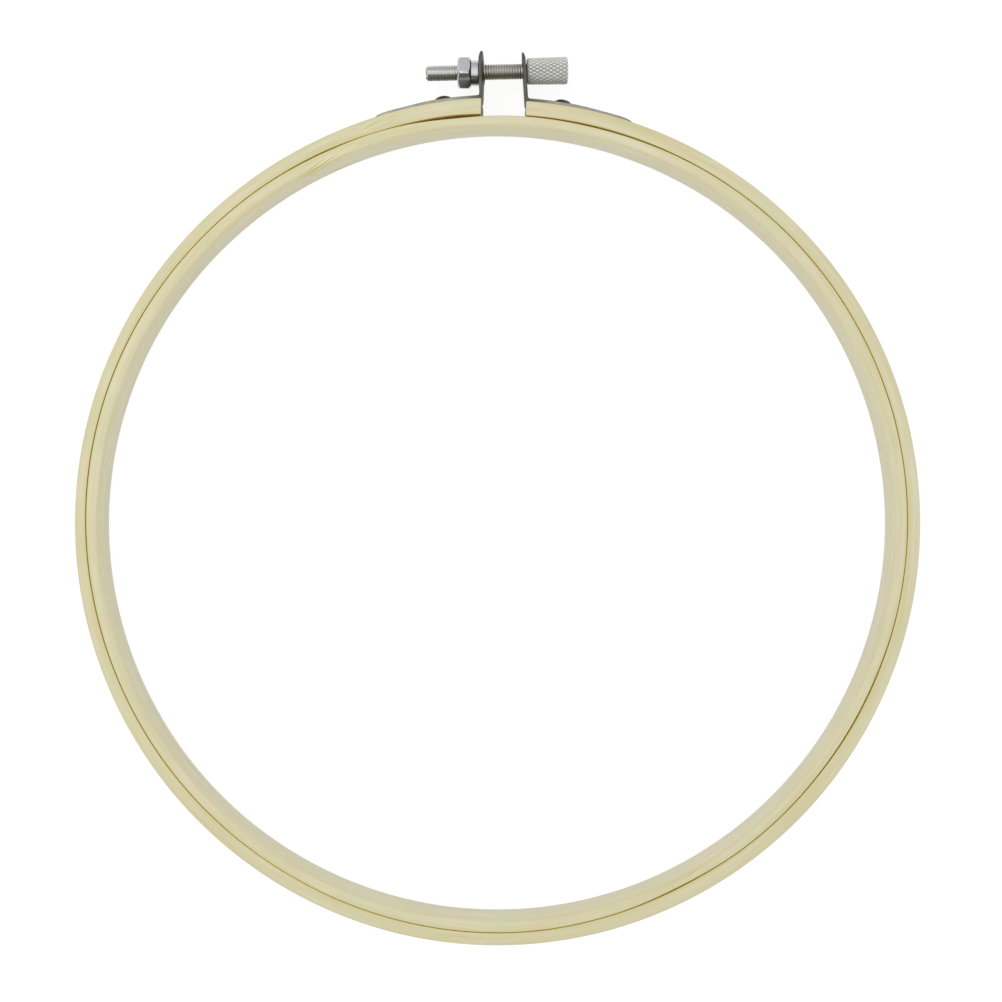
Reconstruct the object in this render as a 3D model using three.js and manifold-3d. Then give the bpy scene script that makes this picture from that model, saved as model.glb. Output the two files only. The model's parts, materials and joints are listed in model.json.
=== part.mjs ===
// An embroidery hoop: an inner ring of bent bamboo, and a split outer ring that a screw clamps round it.
// Millimetres. The hoop lies flat: its axis is Z, its back is on z = 0 and its clamp points along +Y.
import * as THREE from "three";
import { mergeVertices } from "three/addons/utils/BufferGeometryUtils.js";
import Module from "manifold-3d";

const wasm = await Module();
wasm.setup();

// Rings
const openingDiameter = 203.2; // inside the inner ring: an 8 inch hoop
const innerRingThickness = 2.95;
const outerRingThickness = 2.95;
const ringClearance = 0.35; // between the rings all round, so that the clamp has something to take up
const ringHeight = 10;
const freeEdgeRadius = 0.6; // on the edges that the hand meets
const seamEdgeRadius = 0.25; // on the edges that face the other ring
const clampGap = 10.8; // between the outer ring's two ends
const flexSlit = 0.3; // opposite the clamp, where the outer ring bends as it opens

// Brackets: one steel strip each, laid along the outer ring and bent up into an ear
const bracketThickness = 0.7;
const bracketInset = 0.9; // from the strip's edge to each face of the ring
const bracketLength = 28.8; // from the tail's tip to the ear
const bracketSeat = 0.05; // between strip and wood
const bendRadius = 1; // of the strip's middle at the foot of the ear
const earAboveScrew = 5.2; // from the screw's axis to the ear's top
const knobEarLean = 4.4; // degrees, towards the nut side
const nutEarLean = 0.9; // degrees, the same way
const nutEarTwist = 4.6; // degrees, about the ear's own length

// Rivets
const rivetSetback = 9.1; // from the ear, along the strip
const rivetShankRadius = 1.25;
const rivetHeadLip = 1.35; // of the head beyond the shank
const rivetDome = 1.5;
const rivetRim = 0.25; // the straight edge under the dome
const rivetTailLip = 0.55; // of the closed tail beyond the shank
const rivetTailDepth = 0.6; // of the countersink that the tail is closed into
const rivetTailInset = 0.1; // below the wood's inner face
const rivetFit = 0.1; // round the shank and under the head

// Screw and knob, on the screw's own axis
const nutAboveWood = 4.9; // from the outer ring's outer face to the flats of the nut
const threadRadius = 1.9;
const threadPitch = 0.7;
const threadDepth = 0.42; // of a V thread of 60 degrees, a little blunt at its root
const screwLength = 26.05; // from the tip to the knob's inner face
const screwTipChamfer = 0.55;
const studLength = 7; // of the plain end inside the knob
const studStep = 0.5; // from the thread's crest down to the plain end
const studFit = 0.05;
const knobRadius = 3.4;
const knobLength = 10.6;
const knobChamfer = 0.35;
const knobRun = 0.1; // between the knob and the ear
const knurlDepth = 0.28;
const knurlsAround = 21;
const knurlsAlong = 6;
const earHoleFit = 0.35; // round the screw, in the knob-side ear

// Nut
const nutFlats = 7.6; // across the flats
const nutTurn = 17; // degrees about the screw, from a corner in front to it facing down the hoop
const nutLength = 3.55;
const nutChamfer = 0.5; // along the axis, at the corners
const nutFaceInset = 0.15; // from the flats to the round edge of each end face
const neckWall = 0.55; // of the neck that passes through the ear
const collarStep = 0.3; // of the collar beyond the neck
const collarLength = 1.9;
const neckFit = 0.15; // round the neck, in the ear
const flareLip = 0.25; // of the neck's end beyond the neck, opened over the ear
const flareThickness = 0.3;
const nutSeat = 0.05; // between the nut and the ear
const nutBoreFit = 0.3; // round the thread, because the nut swings a little as the ring opens

// How finely curves are cut into flats
const ringSteps = 120; // round a whole ring
const smallSteps = 24; // round a screw, rivet or nut
const threadSteps = 12; // in one turn of the thread
const stripSteps = 6; // along a bracket's strip
const bendSteps = 4; // round a bracket's bend
const edgeAngles = [0, 45, 90]; // degrees round a rounded edge
const stripEndAngles = [80, 60, 40, 20, 0]; // degrees from a strip's rounded end to its full width
const domeAngles = [0, 22.5, 45, 67.5]; // degrees up a rivet's dome

// Where solids are cut or joined
const past = 1; // how far a cut runs past a face
const overlap = 1; // how far joined solids run into each other
const hair = 0.01; // leaves a thread's crests whole where its envelope meets them
const weld = 1e-4; // points closer than this are one

// Worked out
const innerRingInside = openingDiameter / 2;
const innerRingOutside = innerRingInside + innerRingThickness;
const outerRingInside = innerRingOutside + ringClearance;
const outerRingOutside = outerRingInside + outerRingThickness;
const halfGap = clampGap / 2;
const middle = ringHeight / 2;
const stripRadius = outerRingOutside + bracketSeat + bracketThickness / 2;
const stripHalfWidth = middle - bracketInset;
const screwRise = nutAboveWood + nutFlats / 2;
const screwRadius = outerRingOutside + screwRise;
const studRadius = threadRadius - studStep;
const boreRadius = threadRadius + nutBoreFit;
const neckRadius = boreRadius + neckWall;
const collarRadius = neckRadius + collarStep;
const flareRadius = neckRadius + flareLip;
const rivetHeadRadius = rivetShankRadius + rivetHeadLip;
const rivetTailRadius = rivetShankRadius + rivetTailLip;
const earTop = screwRadius + earAboveScrew;
const hoopCentreY = -(earTop - outerRingOutside) / 2; // puts the origin in the middle of the whole

// The outer ring opens about the middle of its strip, opposite the clamp.
const flexY = -(outerRingInside + outerRingOutside) / 2;

const radians = THREE.MathUtils.degToRad;

// The middle of an ear's thickness, at its foot and then at the height of the screw
const earMiddle = halfGap + bracketThickness / 2;
const knobEarX = earMiddle - screwRise * Math.tan(radians(knobEarLean));
const nutEarX = -earMiddle - screwRise * Math.tan(radians(nutEarLean));

// The screw is square to the line from the bending point to the nut, so the nut starts out along it.
const nutReach = -nutEarX + bracketThickness / 2 + collarLength;
const screwTilt = Math.atan2(nutReach, screwRadius - flexY);

// Stations along the screw's axis, from the middle of the gap, positive towards the knob
const knobSlant = Math.abs(radians(knobEarLean) - screwTilt);
const nutSlant = Math.abs(radians(nutEarLean) - screwTilt) + radians(nutEarTwist);
const knobFace = knobEarX + bracketThickness / 2 + knobRadius * knobSlant + knobRun;
const screwTip = knobFace - screwLength;
const flareFace = nutEarX + bracketThickness / 2 + flareRadius * nutSlant + nutSeat;
const collarFace = nutEarX - bracketThickness / 2 - collarRadius * nutSlant - nutSeat;
const nutInnerFace = collarFace - collarLength;
const nutOuterFace = nutInnerFace - nutLength;

// Solids to cut and join

function solid(geometry) {
  const bare = geometry.index ? geometry.toNonIndexed() : geometry.clone();
  bare.deleteAttribute("normal");
  bare.deleteAttribute("uv");
  const merged = mergeVertices(bare, weld);
  return new wasm.Manifold(
    new wasm.Mesh({
      numProp: 3,
      vertProperties: new Float32Array(merged.attributes.position.array),
      triVerts: new Uint32Array(merged.index.array),
    }),
  );
}

function geometryOf(made) {
  const mesh = made.getMesh();
  const points = new Float32Array(mesh.numVert * 3);
  for (let i = 0; i < mesh.numVert; i++) {
    points.set(mesh.vertProperties.subarray(i * mesh.numProp, i * mesh.numProp + 3), i * 3);
  }
  const geometry = new THREE.BufferGeometry();
  geometry.setAttribute("position", new THREE.BufferAttribute(points, 3));
  geometry.setIndex(new THREE.BufferAttribute(new Uint32Array(mesh.triVerts), 1));
  return geometry;
}

function cylinder(from, to, startRadius, endRadius = startRadius) {
  const along = to.clone().sub(from);
  const geometry = new THREE.CylinderGeometry(endRadius, startRadius, along.length(), smallSteps);
  const turn = new THREE.Quaternion().setFromUnitVectors(
    new THREE.Vector3(0, 1, 0),
    along.clone().normalize(),
  );
  geometry.applyQuaternion(turn);
  const centre = from.clone().add(to).multiplyScalar(0.5);
  return solid(geometry.translate(centre.x, centre.y, centre.z));
}

function box(low, high) {
  const size = high.clone().sub(low);
  const centre = low.clone().add(high).multiplyScalar(0.5);
  const geometry = new THREE.BoxGeometry(size.x, size.y, size.z);
  return solid(geometry.translate(centre.x, centre.y, centre.z));
}

// A profile of [radius, height] pairs turned about Z
function turned(profile, steps) {
  const points = profile.map(([radius, height]) => new THREE.Vector2(radius, height));
  return new THREE.LatheGeometry(points, steps).rotateX(Math.PI / 2);
}

// A closed skin over rows of points that go round, each end shut by a fan to its middle
function skin(rows) {
  const points = rows.flat();
  const around = rows[0].length;
  const faces = [];
  for (let row = 0; row + 1 < rows.length; row++) {
    for (let i = 0; i < around; i++) {
      const a = row * around + i;
      const b = row * around + ((i + 1) % around);
      faces.push(a, b, a + around, b, b + around, a + around);
    }
  }
  const middleOf = (row) =>
    row.reduce((sum, point) => sum.add(point), new THREE.Vector3()).divideScalar(row.length);
  const first = points.push(middleOf(rows[0])) - 1;
  const last = points.push(middleOf(rows.at(-1))) - 1;
  const end = (rows.length - 1) * around;
  for (let i = 0; i < around; i++) {
    const next = (i + 1) % around;
    faces.push(first, next, i, last, end + i, end + next);
  }
  return new THREE.BufferGeometry().setFromPoints(points).setIndex(faces);
}

// Rings

function ringProfile(inside, outside, insideEdge, outsideEdge) {
  const corners = [
    [outside - outsideEdge, outsideEdge, outsideEdge, 270],
    [outside - outsideEdge, ringHeight - outsideEdge, outsideEdge, 0],
    [inside + insideEdge, ringHeight - insideEdge, insideEdge, 90],
    [inside + insideEdge, insideEdge, insideEdge, 180],
  ];
  const profile = corners.flatMap(([x, z, edge, start]) =>
    edgeAngles.map((turn) => {
      const angle = radians(start + turn);
      return [x + edge * Math.cos(angle), z + edge * Math.sin(angle)];
    }),
  );
  return [...profile, profile[0]];
}

function innerRing() {
  const profile = ringProfile(innerRingInside, innerRingOutside, freeEdgeRadius, seamEdgeRadius);
  return turned(profile, ringSteps);
}

// One side of the outer ring, from the bending point to its end, with the rivet's hole through it
function outerRingHalf(side) {
  const profile = ringProfile(outerRingInside, outerRingOutside, seamEdgeRadius, freeEdgeRadius);
  const ring = solid(turned(profile, ringSteps));
  const far = outerRingOutside + past;
  const top = ringHeight + past;
  const x = [(side * flexSlit) / 2, side * far].sort((a, b) => a - b);
  const oneSide = box(new THREE.Vector3(x[0], -far, -past), new THREE.Vector3(x[1], far, top));
  const gap = box(new THREE.Vector3(-halfGap, 0, -past), new THREE.Vector3(halfGap, far, top));
  const half = ring.intersect(oneSide).subtract(gap);
  const { at } = rivetPlace(side);
  const face = -outerRingThickness;
  const tailEnd = face + rivetTailInset;
  const hole = cylinder(at(face - past), at(past), rivetShankRadius + rivetFit);
  const slope = (rivetTailRadius - rivetShankRadius) / rivetTailDepth;
  const sink = cylinder(
    at(face - past),
    at(tailEnd + rivetTailDepth),
    rivetTailRadius + rivetFit + slope * (past + rivetTailInset),
    rivetShankRadius + rivetFit,
  );
  return geometryOf(half.subtract(hole).subtract(sink));
}

// Brackets

// The direction away from the hoop's centre at the rivet, and the point at a height over the wood
function rivetPlace(side) {
  const angle = side * ((halfGap + bracketThickness + rivetSetback) / stripRadius);
  const outward = new THREE.Vector3(Math.sin(angle), Math.cos(angle), 0);
  const at = (height) => outward.clone().multiplyScalar(outerRingOutside + height).setZ(middle);
  return { outward, at };
}

// A point at a station along the screw's axis
function onScrew(station) {
  return new THREE.Vector3(
    station * Math.cos(screwTilt),
    screwRadius + station * Math.sin(screwTilt),
    middle,
  );
}

// The strip's middle line seen along Z: round the ring, a bend, and up the ear
function bracketLine(side, lean) {
  const up = new THREE.Vector2(-Math.sin(lean), Math.cos(lean));
  const cornerAngle = side * Math.asin(earMiddle / stripRadius);
  const corner = new THREE.Vector2(Math.sin(cornerAngle), Math.cos(cornerAngle)).multiplyScalar(stripRadius);
  const turn = Math.PI / 2 - Math.abs(cornerAngle) - side * lean;
  const cut = bendRadius * Math.tan(turn / 2);
  const bendAngle = cornerAngle + (side * cut) / stripRadius;
  const bendStart = new THREE.Vector2(Math.sin(bendAngle), Math.cos(bendAngle)).multiplyScalar(stripRadius);
  const bendEnd = corner.clone().addScaledVector(up, cut);
  const top = corner.clone().addScaledVector(up, (earTop - corner.y) / up.y);
  const tailAngle = cornerAngle + (side * bracketLength) / stripRadius;
  return { bendAngle, tailAngle, bendStart, bendEnd, corner, top };
}

// Half the strip's width at a distance from its round end
function roundedWidth(distance) {
  const inside = Math.max(0, stripHalfWidth - distance);
  return Math.sqrt(stripHalfWidth ** 2 - inside ** 2);
}

function bracket(side, lean, twist) {
  const line = bracketLine(side, lean);
  const roundOff = stripEndAngles.map((angle) => stripHalfWidth * (1 - Math.sin(radians(angle))));
  const stations = [];
  const tailSweep = Math.abs(line.tailAngle - line.bendAngle) * stripRadius;
  const alongStrip = [...roundOff];
  for (let i = 1; i <= stripSteps; i++) {
    alongStrip.push(stripHalfWidth + ((tailSweep - stripHalfWidth) * i) / stripSteps);
  }
  for (const distance of alongStrip) {
    const angle = line.tailAngle - (side * distance) / stripRadius;
    stations.push({
      at: new THREE.Vector2(Math.sin(angle), Math.cos(angle)).multiplyScalar(stripRadius),
      normal: new THREE.Vector2(Math.sin(angle), Math.cos(angle)),
      halfWidth: roundedWidth(distance),
      twist: 0,
    });
  }
  const bend = new THREE.QuadraticBezierCurve(line.bendStart, line.corner, line.bendEnd);
  for (let i = 1; i <= bendSteps; i++) {
    const tangent = bend.getTangent(i / bendSteps);
    stations.push({
      at: bend.getPoint(i / bendSteps),
      normal: new THREE.Vector2(tangent.y, -tangent.x).multiplyScalar(side),
      halfWidth: stripHalfWidth,
      twist: 0,
    });
  }
  const up = line.top.clone().sub(line.bendEnd);
  const rise = up.length();
  up.normalize();
  const normal = new THREE.Vector2(up.y, -up.x).multiplyScalar(side);
  const alongEar = [0.5 * (rise - stripHalfWidth), ...roundOff.map((d) => rise - d).reverse()];
  for (const distance of alongEar) {
    stations.push({
      at: line.bendEnd.clone().addScaledVector(up, distance),
      normal,
      halfWidth: roundedWidth(rise - distance),
      twist: twist * Math.min(1, distance / (rise - stripHalfWidth)),
    });
  }
  return stations.map(({ at, normal: out, halfWidth, twist: turn }) => {
    const across = new THREE.Vector3(out.x * Math.sin(turn), out.y * Math.sin(turn), Math.cos(turn));
    const through = new THREE.Vector3(out.x * Math.cos(turn), out.y * Math.cos(turn), -Math.sin(turn));
    const corners = [
      [-1, -1],
      [1, -1],
      [1, 1],
      [-1, 1],
    ];
    return (side > 0 ? corners.reverse() : corners).map(([a, b]) =>
      new THREE.Vector3(at.x, at.y, middle)
        .addScaledVector(through, (a * bracketThickness) / 2)
        .addScaledVector(across, b * halfWidth),
    );
  });
}

function bracketWithHoles(side, lean, twist, holeRadius) {
  const strip = solid(skin(bracket(side, lean, twist)));
  const { at } = rivetPlace(side);
  const rivetHole = cylinder(at(-past), at(bracketThickness + past), rivetShankRadius + rivetFit);
  const screwHole = cylinder(onScrew(0), onScrew(side * clampGap), holeRadius);
  return geometryOf(strip.subtract(rivetHole).subtract(screwHole));
}

// Rivets stand on the strip, with Z pointing away from the hoop's centre.

function rivet() {
  const seat = bracketSeat + bracketThickness + rivetFit;
  const tailEnd = rivetTailInset - outerRingThickness;
  const domeAt = (angle) => [
    rivetHeadRadius * Math.cos(radians(angle)),
    seat + rivetRim + rivetDome * Math.sin(radians(angle)),
  ];
  return turned(
    [
      [0, tailEnd],
      [rivetTailRadius, tailEnd],
      [rivetShankRadius, tailEnd + rivetTailDepth],
      [rivetShankRadius, seat],
      [rivetHeadRadius, seat],
      ...domeAngles.map(domeAt),
      [0, seat + rivetRim + rivetDome],
    ],
    smallSteps,
  );
}

// Screw, knob and nut lie along X, with stations along the screw's axis as their x.

function alongX(geometry) {
  return geometry.rotateY(Math.PI / 2);
}

// A right-hand V thread as one strip wound round the axis: a root line and a crest line half a pitch on
function threadedRod(length) {
  const turns = Math.ceil(length / threadPitch) + 2; // one to spare at each end
  const count = turns * threadSteps;
  const point = (i, radius, lead) => {
    const angle = (2 * Math.PI * i) / threadSteps;
    return new THREE.Vector3(
      radius * Math.cos(angle),
      radius * Math.sin(angle),
      threadPitch * (i / threadSteps + lead - 1),
    );
  };
  const points = [];
  for (let i = 0; i <= count; i++) {
    points.push(point(i, threadRadius - threadDepth, 0), point(i, threadRadius, 0.5));
  }
  const root = (i) => 2 * i;
  const crest = (i) => 2 * i + 1;
  const faces = [];
  const quad = (a, b, c, d) => faces.push(a, b, c, a, c, d);
  for (let i = 0; i < count; i++) {
    quad(root(i), root(i + 1), crest(i + 1), crest(i));
  }
  for (let i = 0; i < count - threadSteps; i++) {
    quad(crest(i), crest(i + 1), root(i + threadSteps + 1), root(i + threadSteps));
  }
  const fan = (loop, height, flip) => {
    const centre = points.push(new THREE.Vector3(0, 0, height)) - 1;
    loop.forEach((a, i) => {
      const b = loop[(i + 1) % loop.length];
      faces.push(centre, flip ? b : a, flip ? a : b);
    });
  };
  const bottom = [];
  const top = [];
  for (let i = 0; i <= threadSteps; i++) {
    bottom.push(root(i));
    top.push(crest(count - threadSteps + i));
  }
  bottom.push(crest(0));
  top.push(root(count));
  fan(bottom, -threadPitch, true);
  fan(top, threadPitch * turns, false);
  return new THREE.BufferGeometry().setFromPoints(points).setIndex(faces);
}

function clampScrew() {
  const tipRadius = threadRadius - screwTipChamfer;
  const envelope = turned(
    [
      [0, 0],
      [tipRadius, 0],
      [threadRadius + hair, screwTipChamfer],
      [threadRadius + hair, screwLength],
      [0, screwLength],
    ],
    smallSteps,
  );
  const threaded = solid(threadedRod(screwLength)).intersect(solid(envelope));
  const stud = turned(
    [
      [0, screwLength - overlap],
      [studRadius, screwLength - overlap],
      [studRadius, screwLength + studLength],
      [0, screwLength + studLength],
    ],
    smallSteps,
  );
  return alongX(geometryOf(threaded.add(solid(stud)))).translate(screwTip, 0, 0);
}

// Two sets of V grooves cross on the knob: crossings are low, and the diamonds between them come to points.
function clampKnob() {
  const around = 2 * knurlsAround;
  const along = 2 * knurlsAlong;
  const ringOf = (height, radiusAt) =>
    Array.from({ length: around }, (_, i) => {
      const angle = (2 * Math.PI * i) / around;
      return new THREE.Vector3(radiusAt(i) * Math.cos(angle), radiusAt(i) * Math.sin(angle), height);
    });
  const low = knobRadius - knurlDepth;
  const rows = [ringOf(0, () => knobRadius - knobChamfer)];
  for (let row = 0; row <= along; row++) {
    const height = knobChamfer + ((knobLength - 2 * knobChamfer) * row) / along;
    rows.push(ringOf(height, (i) => ((row + i) % 2 ? knobRadius : low)));
  }
  rows.push(ringOf(knobLength, () => knobRadius - knobChamfer));
  const body = knurlSkin(rows);
  const bore = cylinder(
    new THREE.Vector3(0, 0, -past),
    new THREE.Vector3(0, 0, studLength + studFit),
    studRadius + studFit,
  );
  return alongX(geometryOf(solid(body).subtract(bore))).translate(knobFace, 0, 0);
}

// Like skin, with each square split along its two low corners, where a groove runs
function knurlSkin(rows) {
  const geometry = skin(rows);
  const around = rows[0].length;
  const faces = Array.from(geometry.index.array);
  for (let row = 1; row + 2 < rows.length; row++) {
    for (let i = 0; i < around; i++) {
      if ((row - 1 + i) % 2 === 1) continue;
      const start = 6 * (row * around + i);
      const a = row * around + i;
      const b = row * around + ((i + 1) % around);
      faces.splice(start, 6, a, b, b + around, a, b + around, a + around);
    }
  }
  return geometry.setIndex(faces);
}

function clampNut() {
  const cornerRadius = nutFlats / Math.sqrt(3);
  const edgeRadius = nutFlats / 2 - nutFaceInset;
  const hexagon = new THREE.CylinderGeometry(cornerRadius, cornerRadius, nutLength, 6);
  hexagon.rotateX(Math.PI / 2).rotateZ(Math.PI / 2 + radians(nutTurn)).translate(0, 0, nutLength / 2);
  const chamfers = turned(
    [
      [0, 0],
      [edgeRadius, 0],
      [cornerRadius, nutChamfer],
      [cornerRadius, nutLength - nutChamfer],
      [edgeRadius, nutLength],
      [0, nutLength],
    ],
    2 * smallSteps,
  );
  const length = flareFace + flareThickness - nutOuterFace;
  const neck = turned(
    [
      [0, nutLength - overlap],
      [collarRadius, nutLength - overlap],
      [collarRadius, collarFace - nutOuterFace],
      [neckRadius, collarFace - nutOuterFace],
      [neckRadius, flareFace - nutOuterFace],
      [flareRadius, flareFace - nutOuterFace],
      [flareRadius - flareThickness / 2, length],
      [0, length],
    ],
    smallSteps,
  );
  const bore = cylinder(
    new THREE.Vector3(0, 0, -past),
    new THREE.Vector3(0, 0, length + past),
    boreRadius,
  );
  const nut = solid(hexagon).intersect(solid(chamfers)).add(solid(neck)).subtract(bore);
  return alongX(geometryOf(nut)).translate(nutOuterFace, 0, 0);
}

// The scene

const bamboo = { color: 0xd6cfad, roughness: 0.6, metalness: 0 };
const plated = { color: 0x9c9c98, roughness: 0.35, metalness: 1 };
const dullSteel = { color: 0x7d7e78, roughness: 0.45, metalness: 1 };

function piece(name, geometry, look) {
  const flat = geometry.index ? geometry.toNonIndexed() : geometry;
  flat.computeVertexNormals();
  const mesh = new THREE.Mesh(flat, new THREE.MeshStandardMaterial(look));
  mesh.name = name;
  return mesh;
}

function rivetPiece(name, side) {
  const mesh = piece(name, rivet(), dullSteel);
  const { outward } = rivetPlace(side);
  mesh.quaternion.setFromUnitVectors(new THREE.Vector3(0, 0, 1), outward);
  mesh.position.copy(outward.clone().multiplyScalar(outerRingOutside)).setZ(middle);
  return mesh;
}

const hoop = new THREE.Group();
hoop.position.y = hoopCentreY;
hoop.add(
  piece("inner_ring", innerRing(), bamboo),
  piece("outer_ring_knob_half", outerRingHalf(1), bamboo),
  piece("outer_ring_nut_half", outerRingHalf(-1), bamboo),
  piece(
    "bracket_knob_side",
    bracketWithHoles(1, radians(knobEarLean), 0, threadRadius + earHoleFit),
    dullSteel,
  ),
  piece(
    "bracket_nut_side",
    bracketWithHoles(-1, radians(nutEarLean), radians(nutEarTwist), neckRadius + neckFit),
    dullSteel,
  ),
  rivetPiece("rivet_knob_side", 1),
  rivetPiece("rivet_nut_side", -1),
);

const clamp = new THREE.Group();
clamp.position.set(0, screwRadius, middle);
clamp.rotation.z = screwTilt;
clamp.add(
  piece("clamp_screw", clampScrew(), plated),
  piece("clamp_knob", clampKnob(), plated),
  piece("clamp_nut", clampNut(), plated),
);
hoop.add(clamp);

const embroideryHoop = new THREE.Group();
embroideryHoop.add(hoop);

export default embroideryHoop;
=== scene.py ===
import json
import math

import bmesh
import bpy
import numpy as np
from mathutils import Matrix, Vector


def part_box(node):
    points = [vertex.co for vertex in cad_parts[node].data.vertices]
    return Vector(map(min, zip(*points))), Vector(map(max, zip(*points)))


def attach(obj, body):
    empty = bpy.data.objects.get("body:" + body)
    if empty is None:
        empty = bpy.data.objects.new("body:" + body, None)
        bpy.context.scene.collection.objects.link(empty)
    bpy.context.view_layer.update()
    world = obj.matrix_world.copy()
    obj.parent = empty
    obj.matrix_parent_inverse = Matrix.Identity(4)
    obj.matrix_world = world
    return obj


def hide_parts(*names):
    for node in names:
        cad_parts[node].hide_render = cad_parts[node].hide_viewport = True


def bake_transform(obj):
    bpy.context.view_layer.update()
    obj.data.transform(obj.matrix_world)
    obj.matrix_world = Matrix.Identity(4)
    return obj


# An embroidery hoop: two bamboo rings and a nickel-plated clamp. Metres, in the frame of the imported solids:
# the hoop lies flat with its back on z = 0, its clamp points along +Y and its knob along +X.
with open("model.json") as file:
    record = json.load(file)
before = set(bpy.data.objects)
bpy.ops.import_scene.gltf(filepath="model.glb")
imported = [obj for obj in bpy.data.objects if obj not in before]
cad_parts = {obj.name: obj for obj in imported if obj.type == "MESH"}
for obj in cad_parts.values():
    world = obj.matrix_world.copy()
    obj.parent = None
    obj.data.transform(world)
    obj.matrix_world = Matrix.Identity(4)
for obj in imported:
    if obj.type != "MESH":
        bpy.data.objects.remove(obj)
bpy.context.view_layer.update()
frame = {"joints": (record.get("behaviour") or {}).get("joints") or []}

mm = 0.001

# Rings
inner_low, inner_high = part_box("inner_ring")
outer_low, outer_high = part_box("outer_ring_knob_half")
hoop_centre = Vector((0, (inner_low.y + inner_high.y) / 2, 0))
ring_height = inner_high.z
inner_outside = inner_high.x
outer_outside = outer_high.x
outer_thickness = 2.95 * mm
inner_thickness = 3.0 * mm
inner_inside = inner_outside - inner_thickness
seam_radius = (inner_outside + outer_outside - outer_thickness) / 2
half_gap = 5.4 * mm  # half the opening between the outer ring's two ends
inner_free_edge = 0.8 * mm  # rounding of the edges that the hand meets
outer_free_edge = 0.6 * mm
seam_edge = 0.17 * mm  # rounding of the edges that face the other ring
end_edge = 0.15 * mm  # rounding round the outer ring's two ends
# How far each end's front edge stands back from its ear, and how far its cut runs out from front to back
nut_end_setback = 0.42 * mm
nut_end_skew = 0.42 * mm
knob_end_setback = 0.3 * mm
knob_end_skew = 0.2 * mm
ring_steps = 900
corner_steps = 6
wave_size = 0.02 * mm  # of the slow waves in the rings' walls and faces
wave_room = 0.04 * mm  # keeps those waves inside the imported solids
photo_turn = 0.86  # degrees clockwise that the hoop is turned in the photograph

# Unevenness of the hand-bent strips, as (amount in mm, degrees round the hoop, width in degrees)
seam_bumps = (
    (-0.34, 0, 1000),
    (0.14, 12, 18),
    (-0.12, 56, 12),
    (-0.54, 79, 17),
    (-0.19, 97, 8),
    (-0.16, 111, 9),
    (0.66, 167, 32),
    (0.08, 206, 18),
    (-0.10, 240, 14),
    (0.12, 268, 12),
    (-0.10, 284, 5),
    (-0.52, 297, 10),
    (-0.38, 320, 17),
    (-0.08, 338, 7),
)
# Width of the seam between the rings, in the same way
gap_bumps = (
    (0.21, 0, 1000),
    (0.27, 74, 10),
    (0.60, 96, 5),
    (-0.12, 107, 4),
    (0.16, 116, 5),
    (-0.03, 137, 8),
    (0.055, 178, 34),
    (-0.08, 239, 14),
    (0.18, 296, 6),
    (0.20, 331, 12),
)
# How far the outer ring's nut-side end springs out, in the same way
end_spring = ((0.62, 92, 16),)
# The inner ring isn't quite round: (across the hoop, along it, wider than tall), in mm
inner_shift = (-0.21, -0.24, 0.20)

# Brackets
strip_half_width = 4.1 * mm
strip_metal = 0.8 * mm
strip_seat = 0.05 * mm  # between the ring and the strip
strip_length = 28.8 * mm  # from the tail's tip to the ear
strip_edge = 0.14 * mm  # rounding of the strip's edges
strip_points = (60, 13, 12)  # along its tail, its bend and its ear
strip_end_points = 33  # round each of its ends
slice_width = 1.0 * mm  # of the slices in which it bends
bend_radius = 1.0 * mm
# Where the strip is rolled thinner: (share of its length, share of its thickness)
thinning = ((0, 0.6), (0.08, 0.74), (0.22, 0.74), (0.38, 1.0), (0.94, 1.0), (1.0, 0.5))
# Degrees that each ear leans towards the nut side, and that the nut-side one is twisted
knob_ear_lean = 4.4
nut_ear_lean = 0.9
nut_ear_twist = 4.6
twist_lead = 3.0 * mm  # how far before the bend's end the twist starts
knob_ear_over_screw = 4.9 * mm
nut_ear_over_screw = 5.12 * mm
rivet_setback = 9.1 * mm
rivet_shift = 0.22 * mm  # towards the nut side, of both rivets
darkening_lead = 7.0 * mm  # how far before the bend a strip starts to darken

# Rivets
shank_radius = 1.25 * mm
head_radius = 2.6 * mm
head_rim = 0.25 * mm
head_dome = 1.5 * mm
head_dome_turn = 84  # degrees of the quarter turn that its side follows, before its flat top
head_dome_power = 0.9  # 1 makes it an ellipse, and less makes it fuller
head_seat = 0.02 * mm
rivet_fit = 0.1 * mm
hole_steps = 48  # round each hole and what passes through it
tail_radius = 1.8 * mm
tail_depth = 0.6 * mm
tail_inset = 0.1 * mm
tail_edge = 0.1 * mm

# Screw, knob and nut
screw_rise = 8.7 * mm  # of the screw's axis over the outer ring's outer face
thread_radius = 1.9 * mm
thread_depth = 0.11 * mm
thread_pitch = 0.7 * mm
thread_steps = 48
screw_length = 26.05 * mm
tip_chamfer = 0.55 * mm
thread_in_knob = 0.3 * mm  # how far the thread runs into the knob
stud_radius = 1.4 * mm
stud_length = 7.0 * mm
stud_start = 0.2 * mm  # from the knob's face, inside the thread
stud_edge = 0.2 * mm
stud_fit = 0.05 * mm
knob_radius = 3.4 * mm
knob_length = 10.6 * mm
knob_chamfer = 0.5 * mm
knob_crown = 0.02 * mm  # how far the middle of its outer end stands out
knob_rim_inset = 0.1 * mm
knob_bore_chamfer = 0.1 * mm
knob_taper = 0.14 * mm  # of its radius, towards the ear
knob_run = 0.1 * mm  # between the knob and the ear
knurl_depth = 0.19 * mm
knurls_around = 21
knurls_along = 6
knurl_inset = 0.12 * mm  # from either end of the knob
knurl_groove = 0.27  # half a groove's width, as a share of a diamond's
knurl_cell_steps = 12
ear_hole_fit = 0.35 * mm
nut_flats = 7.6 * mm
nut_turn = 17  # degrees, from a corner in front to it facing down the hoop
nut_length = 3.55 * mm
nut_face_inset = 0.3 * mm
nut_chamfer_slope = 0.85
nut_face_edge = 0.1 * mm
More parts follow.
